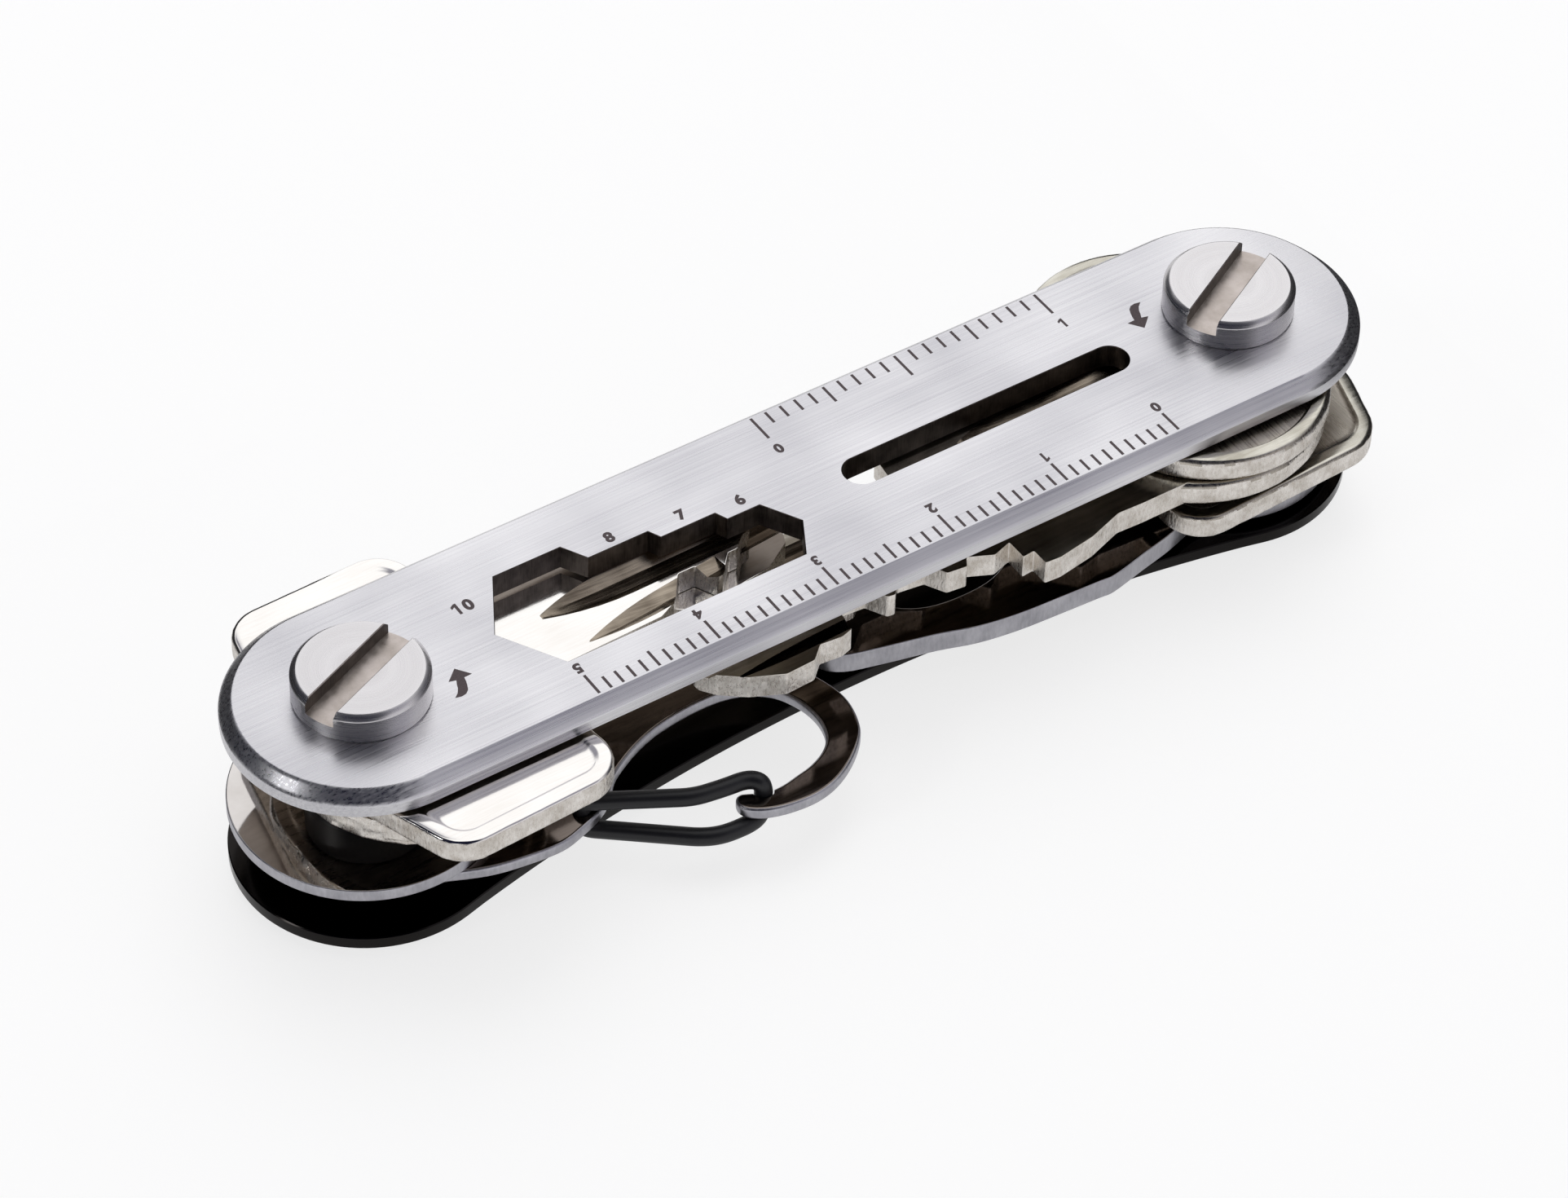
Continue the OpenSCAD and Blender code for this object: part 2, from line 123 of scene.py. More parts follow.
lamp = bpy.data.objects.new("overhead_softbox", bpy.data.lights.new("overhead_softbox", "AREA"))
lamp.data.shape = "DISK"
lamp.data.size = 0.5
lamp.data.energy = 1.0
lamp.location = (0.12, 0.25, 0.55)
lamp.rotation_euler = (-lamp.location).to_track_quat("-Z", "Y").to_euler()
lamp.visible_glossy = False
bpy.context.scene.collection.objects.link(lamp)


# --- Paper floor ------------------------------------------------------------------------------
# A white matte sheet of card that the organiser lies on.

def new_material(name):
    """A material with only a Principled shader: the material, its tree and the shader."""
    made = bpy.data.materials.new(name)
    made.use_nodes = True
    tree = made.node_tree
    tree.nodes.clear()
    shader = add_node(tree, "ShaderNodeBsdfPrincipled")
    add_node(tree, "ShaderNodeOutputMaterial", {"Surface": shader.outputs["BSDF"]})
    return made, tree, shader


def mesh_object(name, points, faces, place=(0, 0, 0)):
    """An object from points in millimetres, with its origin at place, also in millimetres."""
    mesh = bpy.data.meshes.new(name)
    mesh.from_pydata([Vector(p) * MM for p in points], [], faces)
    turned_out = bmesh.new()
    turned_out.from_mesh(mesh)
    bmesh.ops.recalc_face_normals(turned_out, faces=turned_out.faces)
    turned_out.to_mesh(mesh)
    turned_out.free()
    made = bpy.data.objects.new(name, mesh)
    made.location = Vector(place) * MM
    bpy.context.scene.collection.objects.link(made)
    return made


def circle(radius, sides, start=0.0, sweep=360.0):
    """Points of a circle or of an arc, anticlockwise."""
    whole = abs(sweep) >= 360
    turns = [start + sweep * k / (sides if whole else sides - 1) for k in range(sides)]
    return [(radius * math.cos(math.radians(a)), radius * math.sin(math.radians(a)))
            for a in turns]


floor_radius = 700
paper, tree, shader = new_material("matte_white_card")
shader.inputs["Base Color"].default_value = linear("#8e8e8e")
shader.inputs["Roughness"].default_value = 0.9
shader.inputs["Emission Color"].default_value = linear("#ffffff")
# The card is lit evenly from below, so that shadows on it stay faint.
card_glow = add_node(tree, "ShaderNodeMapRange",
                     {"Value": add_node(tree, "ShaderNodeLightPath").outputs["Is Camera Ray"],
                      "To Min": 0.5, "To Max": 0.78})
tree.links.new(card_glow.outputs["Result"], shader.inputs["Emission Strength"])
floor = mesh_object("paper_floor", [(x, y, 0) for x, y in circle(floor_radius, 96)],
                    [tuple(range(96))])
floor.data.materials.append(paper)

# Low black cards that stand just out of view on the right and behind, for the bevels to mirror.
black_card, tree, shader = new_material("matte_black_card")
shader.inputs["Base Color"].default_value = linear("#2c2c30")
shader.inputs["Roughness"].default_value = 0.9
for name, start, end in [("right_screen", (62, -45), (62, 70)), ("back_screen", (-95, 42), (-22, 42))]:
    screen = mesh_object(name, [(*start, 0), (*end, 0), (*end, 30), (*start, 30)], [(0, 1, 2, 3)])
    screen.data.materials.append(black_card)
    screen.visible_camera = False
    screen.visible_diffuse = False
    screen.visible_shadow = False


# --- Top plate --------------------------------------------------------------------------------
# A stainless steel strip with round ends, ground flat and brushed along its length. Its upper
# edge has a milled 45 degree bevel, and the slot and the spanner steps are punched through.

def inset(outline, distance):
    """An anticlockwise outline moved inwards by distance."""
    moved = []
    for i, here in enumerate(outline):
        here = Vector(here)
        arriving = (here - Vector(outline[i - 1])).normalized()
        leaving = (Vector(outline[(i + 1) % len(outline)]) - here).normalized()
        inward = Vector((-arriving.y - leaving.y, arriving.x + leaving.x)).normalized()
        stretch = max(0.6, inward.dot(Vector((-leaving.y, leaving.x))))
        moved.append(tuple(here + inward * (distance / stretch)))
    return moved


def anticlockwise(outline):
    """The same outline, running anticlockwise."""
    area = sum(a[0] * b[1] - b[0] * a[1] for a, b in zip(outline, outline[1:] + outline[:1]))
    return outline if area > 0 else outline[::-1]


def loft(name, rings, place=(0, 0, 0)):
    """A closed mesh through level rings of points, lowest first, each anticlockwise."""
    count = len(rings[0])
    faces = [tuple(reversed(range(count)))]
    for r in range(len(rings) - 1):
        for i in range(count):
            j = (i + 1) % count
            faces.append((r * count + i, r * count + j, (r + 1) * count + j, (r + 1) * count + i))
    faces.append(tuple(range((len(rings) - 1) * count, len(rings) * count)))
    return mesh_object(name, [p for ring in rings for p in ring], faces, place)


def slab(name, outline, steps, place=(0, 0, 0)):
    """A flat piece over an outline. Each step is how far its edge is moved in, and its height."""
    return loft(name, [[(x, y, z) for x, y in inset(outline, d)] for d, z in steps], place)


def round_edges(low, high, radius, turns=3):
    """Steps for a slab with rounded edges between two heights."""
    quarter = [math.radians(90 * k / turns) for k in range(turns + 1)]
    return ([(radius * (1 - math.sin(a)), low + radius * (1 - math.cos(a))) for a in quarter]
            + [(radius * (1 - math.sin(a)), high - radius * (1 - math.cos(a)))
               for a in reversed(quarter)])


def apply_modifiers(piece):
    """Turns a piece's modifiers into its mesh."""
    bpy.context.view_layer.update()
    shaped = bpy.data.meshes.new_from_object(
        piece.evaluated_get(bpy.context.evaluated_depsgraph_get()))
    piece.modifiers.clear()
    piece.data = shaped


def combine(piece, others, operation="DIFFERENCE"):
    """Cuts the other meshes out of a piece, or joins them to it, and removes them."""
    for other in others:
        step = piece.modifiers.new(operation.lower(), "BOOLEAN")
        step.operation = operation
        step.solver = "EXACT"
        step.object = other
    apply_modifiers(piece)
    for other in others:
        bpy.data.objects.remove(other)


def set_slot(piece, slot):
    """Puts every face of a piece in one material slot."""
    for face in piece.data.polygons:
        face.material_index = slot
    return piece


def dress(piece, body, materials, nodes=(), crease=32):
    """Gives a finished piece its materials and smooth shading, and puts it on its CAD body."""
    slots = [face.material_index for face in piece.data.polygons]
    piece.data.materials.clear()
    for material in materials:
        piece.data.materials.append(material)
    piece.data.polygons.foreach_set("material_index", slots)
    for face in piece.data.polygons:
        face.use_smooth = True
    piece.data.set_sharp_from_angle(angle=math.radians(crease))
    even = piece.modifiers.new("even_shading", "WEIGHTED_NORMAL")
    even.keep_sharp = True
    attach(piece, body)
    if nodes:
        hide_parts(*nodes)
    return piece


def metal(name, light, dark, roughness, grain, relief, mottle=4.0, turned=False):
    """A bare metal. Its tone runs between two colours in grains of the given size along X, Y
    and Z, or across, round and along its axis where it is turned; relief is their depth."""
    made, tree, shader = new_material(name)
    place = add_node(tree, "ShaderNodeTexCoord").outputs["Object"]
    if turned:
        parts = add_node(tree, "ShaderNodeSeparateXYZ", {"Vector": place})
        flat = add_node(tree, "ShaderNodeCombineXYZ",
                        {"X": parts.outputs["X"], "Y": parts.outputs["Y"]})
        across = add_node(tree, "ShaderNodeVectorMath", {0: flat.outputs["Vector"]},
                          operation="LENGTH")
        place = add_node(tree, "ShaderNodeCombineXYZ",
                         {"X": across.outputs["Value"], "Z": parts.outputs["Z"]}).outputs["Vector"]
    fitted = add_node(tree, "ShaderNodeMapping",
                      {"Vector": place, "Scale": [1 / (size * MM) for size in grain]})
    streaks = add_node(tree, "ShaderNodeTexNoise",
                       {"Vector": fitted.outputs["Vector"], "Scale": 1.0, "Detail": 4.0,
                        "Roughness": 0.62}).outputs["Fac"]
    clouds = add_node(tree, "ShaderNodeTexNoise",
                      {"Vector": place, "Scale": 1 / (mottle * MM), "Detail": 2.0}).outputs["Fac"]
    both = add_node(tree, "ShaderNodeMath", {0: streaks, 1: clouds}, operation="ADD")
    tone = add_node(tree, "ShaderNodeMapRange",
                    {"Value": both.outputs["Value"], "From Min": 0.70, "From Max": 1.30})
    colour = add_node(tree, "ShaderNodeMixRGB",
                      {"Fac": tone.outputs["Result"], "Color1": linear(dark),
                       "Color2": linear(light)})
    gloss = add_node(tree, "ShaderNodeMapRange",
                     {"Value": streaks, "From Min": 0.3, "From Max": 0.7,
                      "To Min": roughness[0], "To Max": roughness[1]})
    raised = add_node(tree, "ShaderNodeBump",
                      {"Height": streaks, "Distance": relief * MM, "Strength": 1.0})
    shader.inputs["Metallic"].default_value = 1.0
    tree.links.new(colour.outputs["Color"], shader.inputs["Base Color"])
    tree.links.new(gloss.outputs["Result"], shader.inputs["Roughness"])
    tree.links.new(raised.outputs["Normal"], shader.inputs["Normal"])
    return made


plate_low, plate_high = (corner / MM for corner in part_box("top_plate"))
end_radius = (plate_high.y - plate_low.y) / 2
screw_x = plate_high.x - end_radius
plate_bevel = 1.0
edge_break = 0.05
# The hole round a post in every piece above the bottom plate.
post_bore = 2.56


def round_ended(half_length, radius, step=3):
    """Outline of a strip with round ends, anticlockwise."""
    sides = 180 // step + 1
    return ([(half_length + x, y) for x, y in circle(radius, sides, -90, 180)]
            + [(x - half_length, y) for x, y in circle(radius, sides, 90, 180)])


def punch(name, outline, low, high):
    """A cutter through a plate that also breaks the edge at its upper face."""
    return set_slot(slab(name, anticlockwise(outline),
                         [(0, low - 1), (0, high - edge_break), (-edge_break * 1.6, high + 0.03),
                          (-edge_break * 1.6, high + 1)]), 1)


# Brushed stainless steel: long fine scratches, each a slightly different grey.
brushed_steel = metal("brushed_stainless_steel", "#f7f6f8", "#c9c8cd", (0.22, 0.42),
                      (20.0, 0.16, 0.16), 0.009, mottle=12.0)
# Punched steel walls, painted dark as shade: rough, with fine upright tool marks. The dark tone is
# painted shade and painted dark reflection for walls which no light reaches.
cut_wall_shade_paint = metal("punched_steel_wall_painted_shade", "#6f6762", "#37312e", (0.32, 0.55),
                     (0.12, 0.12, 1.6), 0.01, mottle=1.2)
# The plate's lower face: dull and grey-brown, painted darker than the top as shade between the plates.
plate_underside_shade_paint = metal("steel_underside_painted_shade", "#b0a7a0", "#8c837d", (0.30, 0.46),
                    (2.0, 0.6, 0.6), 0.004, mottle=6.0)

# The round blank: bottom edge break, upright side, bevel and flat face, all finely broken.
top_plate = slab("top_plate_brushed", round_ended(screw_x, end_radius), [
    (0.10, plate_low.z), (0, plate_low.z + 0.10),
    (0, plate_high.z - 1.04 * plate_bevel), (0.02, plate_high.z - 0.95 * plate_bevel),
    (0.232 * plate_bevel, plate_high.z - 0.732 * plate_bevel),
    (0.478 * plate_bevel, plate_high.z - 0.478 * plate_bevel),
    (0.732 * plate_bevel, plate_high.z - 0.232 * plate_bevel),
    (0.95 * plate_bevel, plate_high.z - 0.02), (1.04 * plate_bevel, plate_high.z)])
top_plate.data.materials.append(brushed_steel)
# The walls of the cut-outs take the second slot: steel painted dark as shade.
top_plate.data.materials.append(cut_wall_shade_paint)

slot_start, slot_end, slot_width = 3.0, 28.1, 2.9
slot_middle = (slot_start + slot_end) / 2
slot_outline = [(slot_middle + x, y) for x, y in
                round_ended((slot_end - slot_start - slot_width) / 2, slot_width / 2, 6)]
spanner_near, spanner_left, spanner_right = -5.07, -23.8, -3.8
# Each step of the cut-out: where it starts and ends along the plate, and the nut that it fits.
spanner_steps = [(spanner_left, -18.2, 10), (-17.1, -12.06, 8), (-11.58, -6.98, 7),
                 (-6.56, spanner_right, 6)]
spanner_outline = [(spanner_left, spanner_near), (spanner_left - 2.9, spanner_near + 5)]
for start, end, nut in spanner_steps:
    spanner_outline += [(start, spanner_near + nut), (end, spanner_near + nut)]
spanner_outline += [(spanner_right + 1.7, spanner_near + 3), (spanner_right, spanner_near)]
bore = circle(post_bore, 48)
combine(top_plate, [
    punch("slot_punch", slot_outline, plate_low.z, plate_high.z),
    punch("spanner_punch", spanner_outline, plate_low.z, plate_high.z),
    punch("left_drill", [(x - screw_x, y) for x, y in bore], plate_low.z, plate_high.z),
    punch("right_drill", [(x + screw_x, y) for x, y in bore], plate_low.z, plate_high.z)])
# Downward faces take the third slot: the lower face painted darker as shade.
for face in top_plate.data.polygons:
    if face.normal.z < -0.9:
        face.material_index = 2
dress(top_plate, "frame", [brushed_steel, cut_wall_shade_paint, plate_underside_shade_paint], ["top_plate"])


# --- Ruler marks, numbers and arrows ----------------------------------------------------------
# Burnt into the plate by a laser: thin, matt, brown-grey marks that stand a few microns proud.
# A centimetre ruler runs along the near edge, read from the far side, and an inch one opposite.

def coating(name, dark, light, grit, detail, roughness, relief=0.0, metallic=0.0):
    """A coated, burnt or moulded surface: two tones mixed in grit of a size, raised by relief."""
    made, tree, shader = new_material(name)
    place = add_node(tree, "ShaderNodeTexCoord").outputs["Object"]
    specks = add_node(tree, "ShaderNodeTexNoise",
                      {"Vector": place, "Scale": 1 / (grit * MM), "Detail": detail}).outputs["Fac"]
    colour = add_node(tree, "ShaderNodeMixRGB",
                      {"Fac": specks, "Color1": linear(dark), "Color2": linear(light)})
    tree.links.new(colour.outputs["Color"], shader.inputs["Base Color"])
    if relief:
        raised = add_node(tree, "ShaderNodeBump",
                          {"Height": specks, "Distance": relief * MM, "Strength": 1.0})
        tree.links.new(raised.outputs["Normal"], shader.inputs["Normal"])
    shader.inputs["Roughness"].default_value = roughness
    shader.inputs["Metallic"].default_value = metallic
    return made


# Laser-marked oxide: matt brown-grey, with a slightly uneven burn.
laser_mark = coating("laser_marked_oxide", "#453c3e", "#6b5f61", 0.12, 3.0, 0.6, metallic=0.35)

mark_low = plate_high.z - 0.02
mark_high = plate_high.z + 0.006
mark_width = 0.22
ruler_edge = end_radius - plate_bevel - 0.13


def tick(x, start_y, length, width=mark_width):
    """Corners of one ruler tick, from start_y in the direction of length's sign."""
    ys = sorted((start_y, start_y + length))
    return [(x - width / 2, ys[0]), (x + width / 2, ys[0]), (x + width / 2, ys[1]),
            (x - width / 2, ys[1])]


def engrave(name, outlines):
    """One thin mark from several flat outlines."""
    points, faces = [], []
    for outline in outlines:
        first, count = len(points), len(outline)
        points += [(x, y, mark_low) for x, y in outline]
        points += [(x, y, mark_high) for x, y in outline]
        faces.append(tuple(first + i for i in reversed(range(count))))
        faces.append(tuple(first + count + i for i in range(count)))
        faces += [(first + i, first + (i + 1) % count, first + count + (i + 1) % count,
                   first + count + i) for i in range(count)]
    mark = mesh_object(name, points, faces)
    mark.data.materials.append(laser_mark)
    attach(mark, "frame")
    return mark


centimetre_zero, inch_zero, inch = 26.4, 0.65, 25.4
centimetre_ticks = [
    tick(centimetre_zero - k, -ruler_edge, 2.03 if k % 10 == 0 else 1.65 if k % 5 == 0 else 1.25)
    for k in range(51)]
inch_parts = 20
inch_ticks = [
    tick(inch_zero + inch * k / inch_parts, ruler_edge,
         -2.45 if k % 10 == 0 else -1.8 if k % 5 == 0 else -1.25)
    for k in range(inch_parts + 1)]
engrave("centimetre_ruler_marks", centimetre_ticks)
engrave("inch_ruler_marks", inch_ticks)

# The opening arrow beside the left screw: a head and a tail that curls; the other is its turn.
arrow_outline = [(-30.86, -1.42), (-31.87, -2.32), (-31.33, -2.47), (-31.52, -2.85),
                 (-31.65, -3.2), (-31.9, -3.58), (-32.3, -3.91), (-31.8, -4.02), (-31.42, -3.95),
                 (-31.12, -3.7), (-30.94, -3.3), (-30.8, -2.9), (-30.72, -2.52), (-30.08, -2.5)]
engrave("opening_arrows", [arrow_outline, [(-x, -y) for x, y in arrow_outline]])

numbers = bpy.data.curves.new("number", "FONT")
numbers.extrude = 1.0
number_points, number_faces = [], []
# Each number: its text, its middle, its height, and its turn in degrees.
number_height = 1.0
# How much bolder the strokes are than the font's; the 3 is thinner, so that its bowls stay open.
number_weight, three_weight = 0.05, 0.042
labels = [(str(k), centimetre_zero - 10 * k, -6.03, number_height, 180) for k in range(6)]
labels += [(str(k), inch_zero + inch * k, 5.14, number_height, 0) for k in range(2)]
labels += [("1", -27.66, 3.5, 1.15, 0), ("0", -26.74, 3.5, 1.15, 0), ("8", -14.72, 3.93, 1.08, 0),
           ("7", -9.12, 3.12, 1.08, 0), ("6", -4.73, 2.17, 1.12, 0)]
# The figure 1 has a slanted flag, drawn here one unit high round its middle.
figure_one = [(-0.04, -0.5), (0.16, -0.5), (0.16, 0.5), (0.0, 0.5), (-0.28, 0.32), (-0.28, 0.1),
              (-0.04, 0.24)]
ones = []
for text, middle_x, middle_y, height, turn in labels:
    sign = -1 if turn == 180 else 1
    if text == "1":
        ones.append([(middle_x + sign * height * x, middle_y + sign * height * y)
                     for x, y in figure_one])
        continue
    numbers.body = text
    numbers.offset = three_weight if text == "3" else number_weight
    holder = bpy.data.objects.new("number", numbers)
    bpy.context.scene.collection.objects.link(holder)
    bpy.context.view_layer.update()
    shape = bpy.data.meshes.new_from_object(
        holder.evaluated_get(bpy.context.evaluated_depsgraph_get()))
    xs = [v.co.x for v in shape.vertices]
    ys = [v.co.y for v in shape.vertices]
    scale = height / (max(ys) - min(ys))
    first = len(number_points)
    for v in shape.vertices:
        number_points.append((middle_x + sign * scale * (v.co.x - (min(xs) + max(xs)) / 2),
                              middle_y + sign * scale * (v.co.y - (min(ys) + max(ys)) / 2),
                              mark_high if v.co.z > 0 else mark_low))
    number_faces += [tuple(first + i for i in face.vertices) for face in shape.polygons]
    bpy.data.objects.remove(holder)
engraved_numbers = mesh_object("engraved_numbers", number_points, number_faces)
engraved_numbers.data.materials.append(laser_mark)
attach(engraved_numbers, "frame")
engrave("engraved_ones", ones)


# --- Screws -----------------------------------------------------------------------------------
# Turned steel screws with a wide milled slot, one through each end of the top plate into its
# post. The lathe tool leaves fine rings on the head, and the mill a smooth, darker slot.

# Turned satin steel: near-white rings round the axis.
turned_steel = metal("turned_satin_steel", "#efedee", "#d2cfd0", (0.22, 0.36),
                     (0.10, 1.0, 0.05), 0.003, mottle=3.0, turned=True)
# Milled slot: warmer and duller than the head, with marks along the cut.
milled_slot = metal("milled_steel_slot", "#dcd2cc", "#b3a9a1", (0.30, 0.45),
                    (0.6, 0.6, 0.05), 0.004, mottle=2.0)

head_radius, head_chamfer, shank_radius = 4.95, 0.45, 1.45
drive_width, drive_depth, drive_break = 2.4, 1.2, 0.07
for side, turn in (("left", 22.7), ("right", 27.8)):
    low, high = (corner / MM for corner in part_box("screw_" + side))
    head_low = plate_high.z + 0.05
    lathe = [(shank_radius - 0.3, low.z), (shank_radius, low.z + 0.3), (shank_radius, head_low),
             (head_radius - 0.12, head_low), (head_radius, head_low + 0.12),
             (head_radius, high.z - head_chamfer - 0.04),
             (head_radius - 0.03, high.z - head_chamfer + 0.03),
             (head_radius - head_chamfer + 0.03, high.z - 0.03),
             (head_radius - head_chamfer - 0.05, high.z)]
    axis_x = -screw_x if side == "left" else screw_x
    screw = loft("slotted_screw_" + side,
                 [[(x, y, z) for x, y in circle(r, 120)] for r, z in lathe], (axis_x, 0, 0))
    half = drive_width / 2
    cross = [(-half, high.z - drive_depth), (half, high.z - drive_depth),
             (half, high.z - drive_break), (half + drive_break * 1.3, high.z + 0.02),
             (half + drive_break * 1.3, high.z + 1), (-half - drive_break * 1.3, high.z + 1),
             (-half - drive_break * 1.3, high.z + 0.02), (-half, high.z - drive_break)]
    along = Vector((math.cos(math.radians(turn)), math.sin(math.radians(turn))))
    ends = [[(along.x * d - along.y * w, along.y * d + along.x * w, z) for w, z in cross]
            for d in (-7, 7)]
    count = len(cross)
    faces = [tuple(range(count)), tuple(reversed(range(count, 2 * count)))]
    faces += [(i, i + count, (i + 1) % count + count, (i + 1) % count) for i in range(count)]
    mill = set_slot(mesh_object("slot_mill", ends[0] + ends[1], faces, (axis_x, 0, 0)), 1)
    # The slot's upright walls take the third slot: steel painted dark as shade.
    for face in mill.data.polygons:
        if abs(face.normal.z) < 0.3:
            face.material_index = 2
    for material in (turned_steel, milled_slot, cut_wall_shade_paint):
        screw.data.materials.append(material)
        mill.data.materials.append(material)
    combine(screw, [mill])
    dress(screw, side + "_screw", [turned_steel, milled_slot, cut_wall_shade_paint], ["screw_" + side])


# --- Keys -------------------------------------------------------------------------------------
# Blanks of nickel-plated brass, 2 mm thick: each has a coined bow with a raised rim round a
# polished panel, a flat blade with milled grooves on both faces, and cuts along one edge.

# Nickel plate, polished: it mirrors the white studio, with faint wiping scratches.
polished_nickel = metal("polished_nickel_plate", "#fffdfa", "#f5f1ec", (0.06, 0.14),
                        (3.0, 0.16, 0.3), 0.0006, mottle=5.0)
# Sawn and coined edges under the plate: sandy, with a fine glitter.
coined_edge = metal("rough_coined_nickel", "#fffaf4", "#cbc3b9", (0.20, 0.40),
                    (0.20, 0.20, 0.50), 0.07, mottle=1.4)
# Milled grooves: streaks along the blade, darker and browner than the faces.
milled_groove = metal("milled_nickel_groove", "#b3a797", "#5d5349", (0.16, 0.34),
                      (7.0, 0.22, 0.5), 0.012, mottle=3.0)
# Lower faces: the same plate, painted duller and browner as shade, since they face down between the
# plates.
key_underside_shade_paint = metal("nickel_underside_painted_shade", "#a79c90", "#786e64", (0.2, 0.4),
                      (3.0, 0.4, 0.3), 0.003, mottle=4.0)
# Panels in the right keys' bows: the same plate, brushed across and worn to grey-beige.
brushed_panel = metal("brushed_nickel_panel", "#d6cfc4", "#958d82", (0.22, 0.40),
                      (0.16, 5.0, 0.3), 0.008, mottle=3.0)
# Rims and blades of the right keys: rubbed smooth in the pocket, with streaks along the key.
worn_rim = metal("pocket_worn_nickel", "#e4e1d6", "#b7b2a5", (0.14, 0.26),
                 (4.0, 0.35, 0.5), 0.002, mottle=2.5)
key_materials = [polished_nickel, coined_edge, milled_groove, key_underside_shade_paint, brushed_panel,
                 worn_rim]


def bow_outline(corners, distance, step=5.0, run=0.5):
    """Outline of a bow round its corner circles (x, y, radius), moved in by distance."""
    count = len(corners)
    tangents = []
    for i in range(count):
        here, after = corners[i], corners[(i + 1) % count]
        gap = Vector((after[0] - here[0], after[1] - here[1]))
        lean = math.asin((here[2] - after[2]) / gap.length)
        tangents.append(math.atan2(gap.y, gap.x) - math.pi / 2 + lean)
    points = []
    for i in range(count):
        x, y, radius = corners[i]
        radius -= distance
        start, end = tangents[i - 1], tangents[i]
        sweep = (end - start) % (2 * math.pi)
        sides = max(2, math.ceil(math.degrees(sweep) / step))
        arc = [(x + radius * math.cos(start + sweep * k / sides),
                y + radius * math.sin(start + sweep * k / sides)) for k in range(sides + 1)]
        after = corners[(i + 1) % count]
        arrive = Vector((after[0] + (after[2] - distance) * math.cos(end),
                         after[1] + (after[2] - distance) * math.sin(end)))
        leave = Vector(arc[-1])
        pieces = max(1, round((Vector(after[:2]) - Vector(corners[i][:2])).length / run))
        points += arc + [tuple(leave.lerp(arrive, k / pieces)) for k in range(1, pieces)]
    return points


def rounded(outline, radius, turns=3):
    """A hand-cut outline with its corners softened by short curves."""
    points = []
    outline = anticlockwise(outline)
    for i, corner in enumerate(outline):
        corner = Vector(corner)
        before, after = Vector(outline[i - 1]), Vector(outline[(i + 1) % len(outline)])
        start = corner.lerp(before, min(0.45, radius / (before - corner).length))
        end = corner.lerp(after, min(0.45, radius / (after - corner).length))
        for k in range(turns + 1):
            t = k / turns
            points.append(tuple(start * (1 - t) ** 2 + corner * 2 * t * (1 - t) + end * t * t))
    return points


def groove_cutter(tip, end, width, depth, surface, up, sharp=0.3, run_out=7.0):
    """What a milling wheel removes: a groove that rises out of the face towards its tip. Sharp
    is its floor's share of its width; up is 1 for the upper face and -1 for the lower one."""
    tip, end = Vector(tip), Vector(end)
    along = (end - tip).normalized()
    across = Vector((-along.y, along.x))
    length = (end - tip).length
    stations = [0.0, 0.04, 0.12, 0.25, 0.4, 0.6, 0.8, 1.0]
    stations = [s * run_out for s in stations if s * run_out < length] + [length]
    sections = []
    for s in stations:
        sunk = depth * (1 - (1 - min(1.0, s / run_out)) ** 2) - (0.03 if s == 0 else 0)
        share = max(0.0, sunk / depth)
        floor_half = width / 2 * sharp * (0.35 + 0.65 * share)
        wall_half = floor_half + (width / 2 - width / 2 * sharp) * share
        profile = [(-wall_half, 1.0), (-wall_half, 0.0), (-floor_half, -sunk),
                   (floor_half, -sunk), (wall_half, 0.0), (wall_half, 1.0)]
        spot = tip + along * s
        sections.append([(spot.x + across.x * w, spot.y + across.y * w, surface + up * h)
                         for w, h in profile])
    count = len(sections[0])
    points = [p for section in sections for p in section]
    faces = [tuple(range(count)), tuple(reversed(range(len(points) - count, len(points))))]
    for r in range(len(sections) - 1):
        for i in range(count):
            j = (i + 1) % count
            faces.append((r * count + j, r * count + i, (r + 1) * count + i, (r + 1) * count + j))
    return set_slot(mesh_object("groove_wheel", points, faces), 2)


